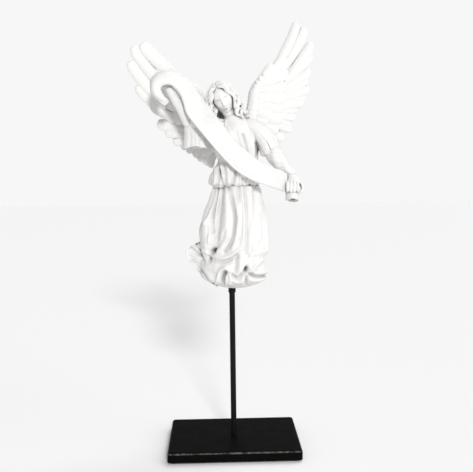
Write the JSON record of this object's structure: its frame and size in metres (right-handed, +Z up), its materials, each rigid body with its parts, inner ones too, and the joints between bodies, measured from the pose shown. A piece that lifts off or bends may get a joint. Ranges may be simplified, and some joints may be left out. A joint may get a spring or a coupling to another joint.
{
  "type": "angel figurine",
  "caption": "White cast-resin angel with raised wings and a ribbon banner, held above a black rectangular base by a slim black rod that it turns on.",
  "frame": {"origin": "centre of the base's underside (the felt's lower face), on the rod's axis, in the plane the stand rests on", "axes": "+Z up along the rod; the figure faces -Y; +X is to the right of someone looking at the figure's front"},
  "size_m": [0.2561, 0.135, 0.6005],
  "materials": {
    "antique_white_resin": "satin white cast resin with a grey-brown wash left in its crevices",
    "black_board_lacquer": "satin black lacquer on wood, with softened rubbed edges",
    "black_rod_paint": "black powder-coated steel",
    "zinc_steel": "zinc-plated fixings and dowels",
    "black_felt": "matte felt"
  },
  "bodies": {
    "stand": {"felt_pad": "black_felt", "base_board": "black_board_lacquer", "stand_rod": "black_rod_paint", "rod_collar": "black_rod_paint", "clamp_washer": "zinc_steel", "clamp_nut": "zinc_steel"},
    "figure": {"socket_sleeve": "zinc_steel", "gown": "antique_white_resin", "head": "antique_white_resin", "right_arm": "antique_white_resin", "left_arm": "antique_white_resin", "banner": "antique_white_resin", "right_wing": "antique_white_resin", "left_wing": "antique_white_resin", "neck_dowel": "zinc_steel", "right_arm_dowel": "zinc_steel", "left_arm_dowel": "zinc_steel", "right_wing_dowels": "zinc_steel", "left_wing_dowels": "zinc_steel", "banner_dowels": "zinc_steel"}
  },
  "joints": [
    {"name": "figure_turn", "type": "hinge", "parent": "stand", "child": "figure", "pos_m": [0, 0, 0.23], "axis": [0, 0, 1], "continuous": true}
  ]
}
